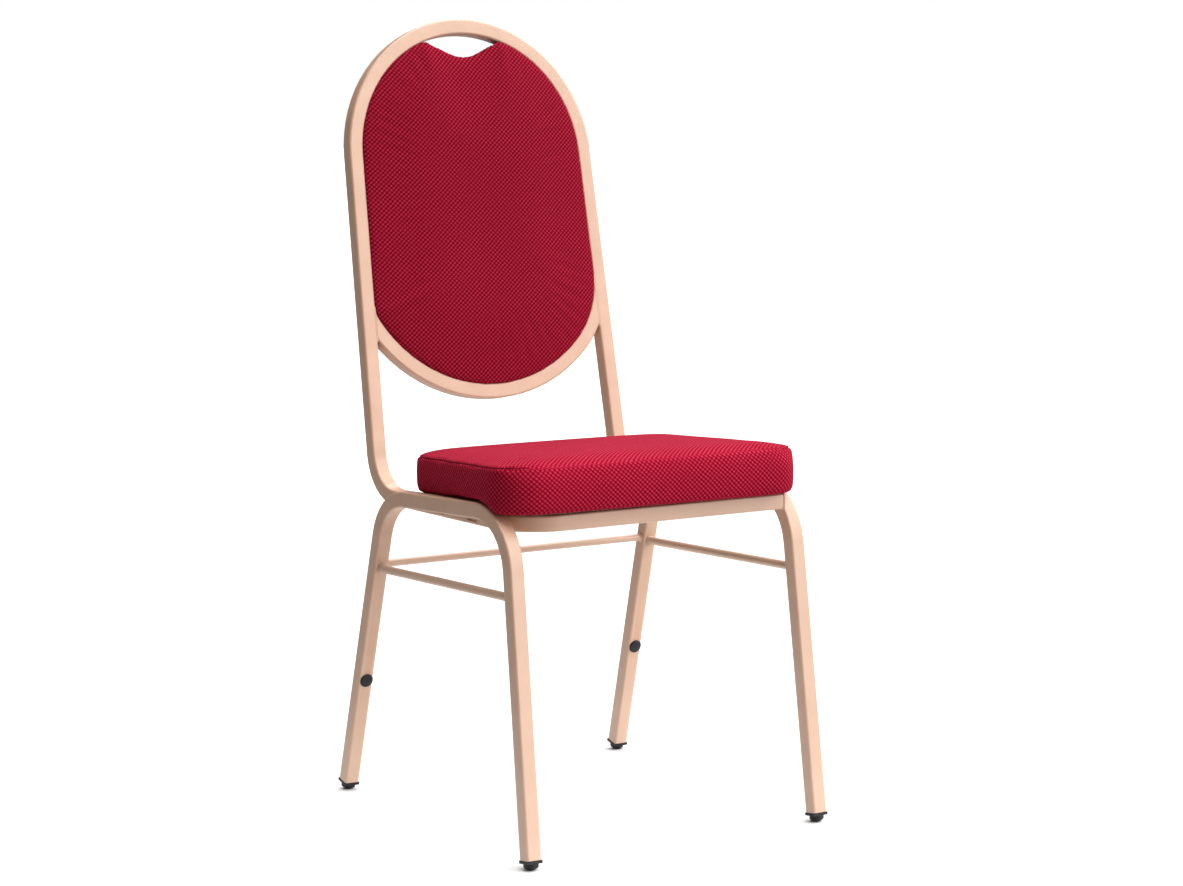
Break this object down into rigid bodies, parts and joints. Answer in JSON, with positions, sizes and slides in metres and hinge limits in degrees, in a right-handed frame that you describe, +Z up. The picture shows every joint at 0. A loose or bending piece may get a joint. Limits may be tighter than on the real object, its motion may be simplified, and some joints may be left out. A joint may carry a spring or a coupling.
{
  "type": "stacking chair",
  "caption": "Armless upholstered stacking chair: square tube frame, crowned seat cushion, oval padded back with a hand slot, stretchers, plastic feet and stacking bumpers.",
  "frame": {"origin": "On the floor, under the middle of the whole chair's bounding box", "axes": "+Z up; -Y is the way a sitter faces; +X is to the right for someone looking at the chair from the front"},
  "size_m": [0.4078, 0.5139, 0.9293],
  "materials": {
    "champagne_powder_coat": "satin",
    "crimson_fabric": "woven, matt",
    "black_plastic": "satin",
    "grey_plastic": "matt",
    "plywood": "raw",
    "zinc_steel": "zinc plated",
    "black_cloth": "matt"
  },
  "bodies": {
    "root": {"back_board": "plywood", "back_cushion": "crimson_fabric", "back_hoop": "champagne_powder_coat", "back_rear_panel": "crimson_fabric", "back_screw_lower_left": "zinc_steel", "back_screw_lower_right": "zinc_steel", "back_screw_upper_left": "zinc_steel", "back_screw_upper_right": "zinc_steel", "back_tab_lower_left": "champagne_powder_coat", "back_tab_lower_right": "champagne_powder_coat", "back_tab_upper_left": "champagne_powder_coat", "back_tab_upper_right": "champagne_powder_coat", "foot_glide_front_left": "black_plastic", "foot_glide_front_right": "black_plastic", "foot_glide_rear_left": "black_plastic", "foot_glide_rear_right": "black_plastic", "front_rail": "champagne_powder_coat", "leg_frame_left": "champagne_powder_coat", "leg_frame_right": "champagne_powder_coat", "lower_back_arc": "champagne_powder_coat", "rear_crossbar": "champagne_powder_coat", "rear_stretcher": "champagne_powder_coat", "seat_board": "plywood", "seat_cushion": "crimson_fabric", "seat_dust_cover": "black_cloth", "seat_screw_front_left": "zinc_steel", "seat_screw_front_right": "zinc_steel", "seat_screw_rear_left": "zinc_steel", "seat_screw_rear_right": "zinc_steel", "seat_spacer_front_left": "grey_plastic", "seat_spacer_front_right": "grey_plastic", "seat_spacer_rear_left": "grey_plastic", "seat_spacer_rear_right": "grey_plastic", "seat_tab_front_left": "champagne_powder_coat", "seat_tab_front_right": "champagne_powder_coat", "seat_tab_rear_left": "champagne_powder_coat", "seat_tab_rear_right": "champagne_powder_coat", "side_stretcher_left": "champagne_powder_coat", "side_stretcher_right": "champagne_powder_coat", "stacking_bumper_left": "black_plastic", "stacking_bumper_right": "black_plastic"}
  },
  "joints": []
}
